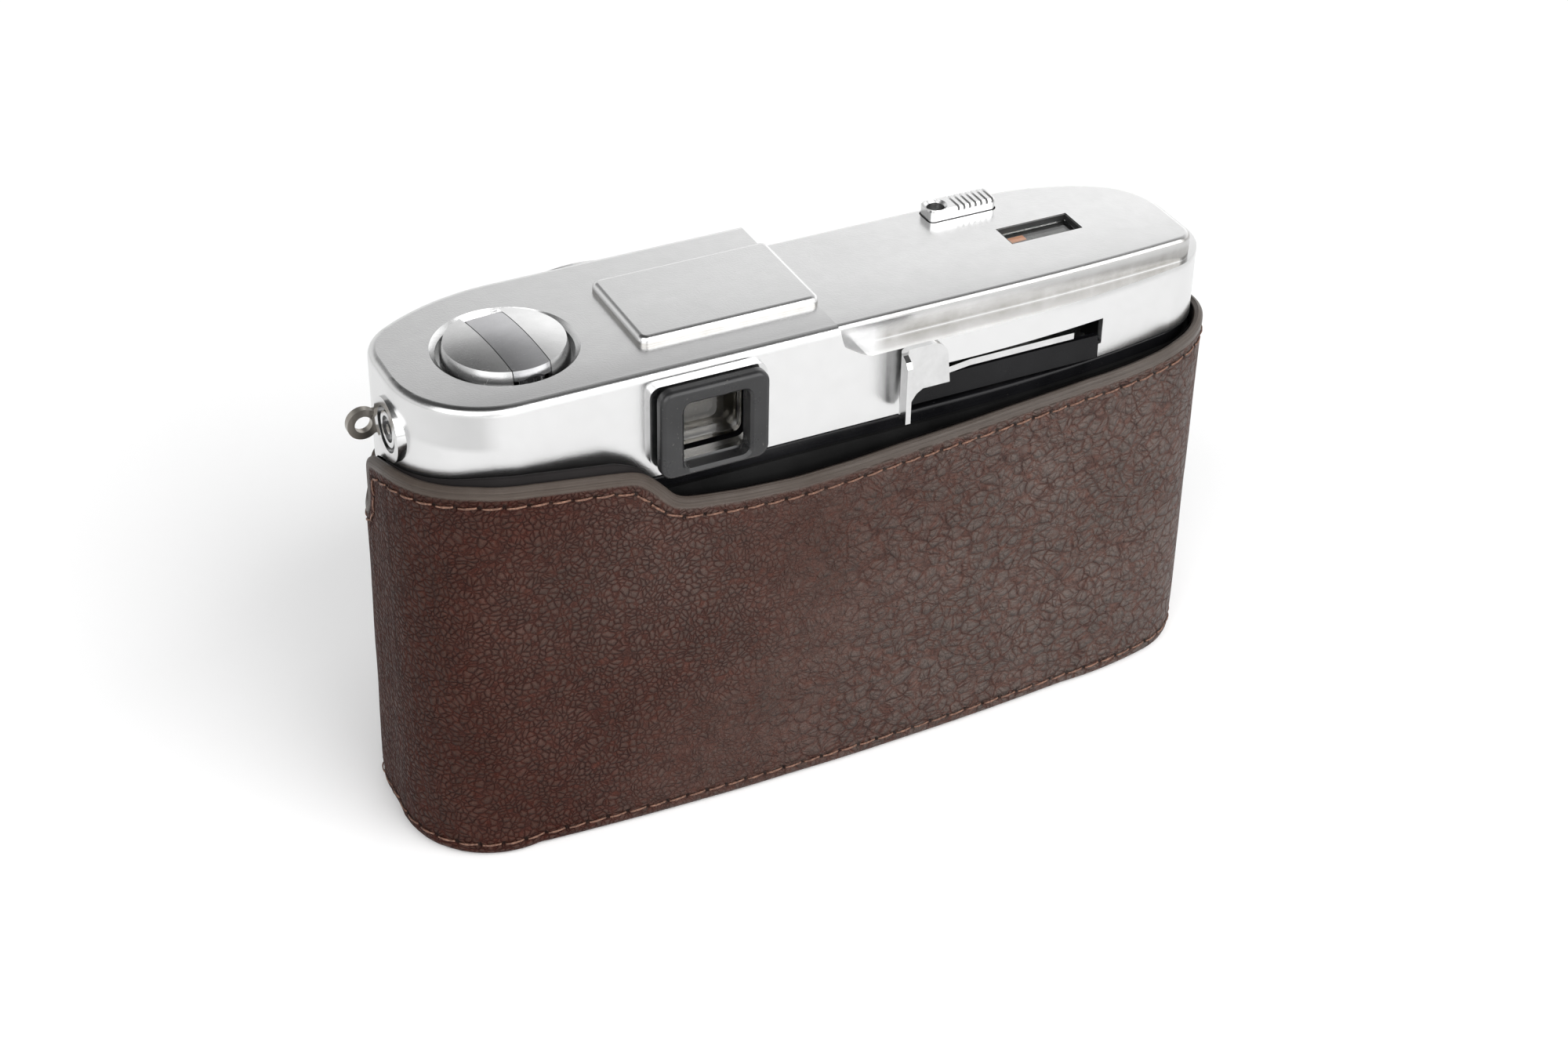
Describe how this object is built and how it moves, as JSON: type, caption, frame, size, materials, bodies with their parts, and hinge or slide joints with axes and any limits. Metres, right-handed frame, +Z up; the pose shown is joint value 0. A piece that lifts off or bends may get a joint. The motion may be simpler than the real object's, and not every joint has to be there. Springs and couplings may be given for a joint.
{
  "type": "single-lens reflex camera in half case",
  "caption": "Compact 35 mm half-frame reflex camera with short lens, standing in a stitched brown leather half case.",
  "frame": {"origin": "middle of the underside of the leather case, on the surface it stands on", "axes": "+Z up, +Y towards the back of the camera (eyepiece side), -Y towards the lens, +X towards the rewind end"},
  "size_m": [0.1335, 0.0576, 0.0759],
  "materials": {
    "leather": "pebbled dark brown, burnished edge, stitched",
    "satin_chrome": "fine satin chrome",
    "bright_chrome": "polished chrome",
    "black_paint": "black",
    "leatherette": "fine grained black covering",
    "glass": "optical glass",
    "mirror": "front-silvered",
    "steel": "turned steel",
    "brass": "brass",
    "aluminium": "turned aluminium",
    "titanium": "thin dark metal disc",
    "dial_white": "printed counter dial"
  },
  "bodies": {
    "case": {"leather_case": "leather", "case_screw_eyelet": "brass"},
    "case_screw": {"case_screw": "brass"},
    "rewind_sleeve": {"rewind_sleeve": "steel"},
    "rewind_knob": {"rewind_knob": "bright_chrome", "rewind_shaft": "steel", "crank_pin": "bright_chrome"},
    "rewind_crank": {"rewind_crank": "bright_chrome"},
    "crank_roller": {"crank_roller": "bright_chrome"},
    "wind_lever": {"wind_lever": "bright_chrome", "wind_shaft": "steel"},
    "take_up_spool": {"take_up_spool": "aluminium"},
    "film_sprocket": {"film_sprocket": "aluminium"},
    "frame_counter": {"frame_counter_disc": "dial_white"},
    "release_button": {"release_button": "bright_chrome"},
    "rewind_release": {"rewind_release_button": "steel"},
    "reflex_mirror": {"reflex_mirror": "mirror"},
    "shutter_disc": {"shutter_disc": "titanium"},
    "aperture_ring": {"aperture_ring": "bright_chrome"},
    "focus_ring": {"focus_ring": "black_paint"},
    "lens_release": {"lens_release_button": "bright_chrome"},
    "speed_dial": {"speed_dial": "satin_chrome"},
    "camera": {"back_cover": "black_paint", "back_leatherette": "leatherette", "base_screws": "bright_chrome", "bottom_cover": "satin_chrome", "chassis": "black_paint", "counter_pointer": "black_paint", "counter_window": "glass", "eyepiece_frame": "black_paint", "eyepiece_lens": "glass", "eyepiece_prism": "glass", "eyepiece_rail_plate": "bright_chrome", "filter_ring": "bright_chrome", "finder_lower_prism": "glass", "finder_relay_lens": "glass", "finder_upper_prism": "glass", "focusing_screen": "glass", "frame_counter_post": "brass", "front_glass": "glass", "front_leatherette": "leatherette", "iris_blades": "black_paint", "lens_barrel": "black_paint", "lens_mount_ring": "bright_chrome", "lens_name_ring": "black_paint", "lens_release_collar": "bright_chrome", "lever_slot_shield": "black_paint", "mount_screws": "bright_chrome", "pressure_plate": "black_paint", "rear_glass": "glass", "release_guide": "steel", "release_spring": "steel", "rewind_bearing": "brass", "shutter_spindle": "steel", "speed_dial_base": "satin_chrome", "strap_lugs": "bright_chrome", "sync_socket": "bright_chrome", "top_cover": "satin_chrome", "tripod_socket": "steel"}
  },
  "joints": [
    {"name": "case_screw_turn", "type": "hinge", "parent": "case", "child": "case_screw", "pos_m": [-0.01, 0, 0.002], "axis": [0, 0, 1], "continuous": true},
    {"name": "camera_lift", "type": "slide", "parent": "case", "child": "camera", "axis": [0, 0, 1], "range_m": [0, 0.062]},
    {"name": "rewind_pull", "type": "slide", "parent": "camera", "child": "rewind_sleeve", "axis": [0, 0, 1], "range_m": [0, 0.005], "stiffness_N_per_m": 400, "springref_m": -0.003},
    {"name": "rewind_turn", "type": "hinge", "parent": "rewind_sleeve", "child": "rewind_knob", "pos_m": [0.046, 0.001, 0.072], "axis": [0, 0, 1], "continuous": true},
    {"name": "crank_fold", "type": "hinge", "parent": "rewind_knob", "child": "rewind_crank", "pos_m": [0.04652, -0.00508, 0.07465], "axis": [0.9963, 0.0854, 0], "range_deg": [0, 165]},
    {"name": "crank_roller_spin", "type": "hinge", "parent": "rewind_crank", "child": "crank_roller", "pos_m": [0.04485, 0.00743, 0.0727], "axis": [0, 0, 1], "continuous": true},
    {"name": "wind_stroke", "type": "hinge", "parent": "camera", "child": "wind_lever", "pos_m": [-0.0362, 0.009, 0.062], "axis": [0, 0, 1], "range_deg": [0, 64], "stiffness_Nm_per_rad": 0.01, "springref_deg": -17.19},
    {"name": "take_up_turn", "type": "hinge", "parent": "camera", "child": "take_up_spool", "pos_m": [-0.046, 0.0006, 0.034], "axis": [0, 0, 1], "range_deg": [0, 89.6]},
    {"name": "sprocket_turn", "type": "hinge", "parent": "camera", "child": "film_sprocket", "pos_m": [-0.027, 0.0048, 0.034], "axis": [0, 0, 1], "range_deg": [-88.62, 0]},
    {"name": "counter_turn", "type": "hinge", "parent": "camera", "child": "frame_counter", "pos_m": [-0.0382, -0.0033, 0.065], "axis": [0, 0, 1], "range_deg": [0, 2.56]},
    {"name": "release_press", "type": "slide", "parent": "camera", "child": "release_button", "axis": [0, 0, -1], "range_m": [0, 0.0015], "stiffness_N_per_m": 300, "springref_m": -0.001},
    {"name": "rewind_release_press", "type": "slide", "parent": "camera", "child": "rewind_release", "axis": [0, 0, 1], "range_m": [0, 0.0008], "stiffness_N_per_m": 300, "springref_m": -0.0005},
    {"name": "mirror_swing", "type": "hinge", "parent": "camera", "child": "reflex_mirror", "pos_m": [0.0292, -0.0105, 0.037], "axis": [0, 0, -1], "range_deg": [0, 45]},
    {"name": "shutter_turn", "type": "hinge", "parent": "camera", "child": "shutter_disc", "pos_m": [0.0036, 0.0075, 0.0334], "axis": [0, 1, 0], "continuous": true},
    {"name": "aperture_turn", "type": "hinge", "parent": "camera", "child": "aperture_ring", "pos_m": [0.0205, -0.0228, 0.0372], "axis": [0, 1, 0], "range_deg": [0, 60]},
    {"name": "focus_turn", "type": "hinge", "parent": "camera", "child": "focus_ring", "pos_m": [0.0205, -0.0284, 0.0372], "axis": [0, 1, 0], "range_deg": [0, 130]},
    {"name": "lens_release_press", "type": "slide", "parent": "camera", "child": "lens_release", "axis": [0, 1, 0], "range_m": [0, 0.001], "stiffness_N_per_m": 300, "springref_m": -0.0005},
    {"name": "speed_dial_turn", "type": "hinge", "parent": "camera", "child": "speed_dial", "pos_m": [-0.0175, -0.018, 0.0465], "axis": [0, -1, 0], "range_deg": [-130, 140]}
  ],
  "couplings": [
    {"joint": "take_up_turn", "follows": "wind_stroke", "ratio": 1.4},
    {"joint": "sprocket_turn", "follows": "wind_stroke", "ratio": -1.3846},
    {"joint": "counter_turn", "follows": "wind_stroke", "ratio": 0.04}
  ]
}
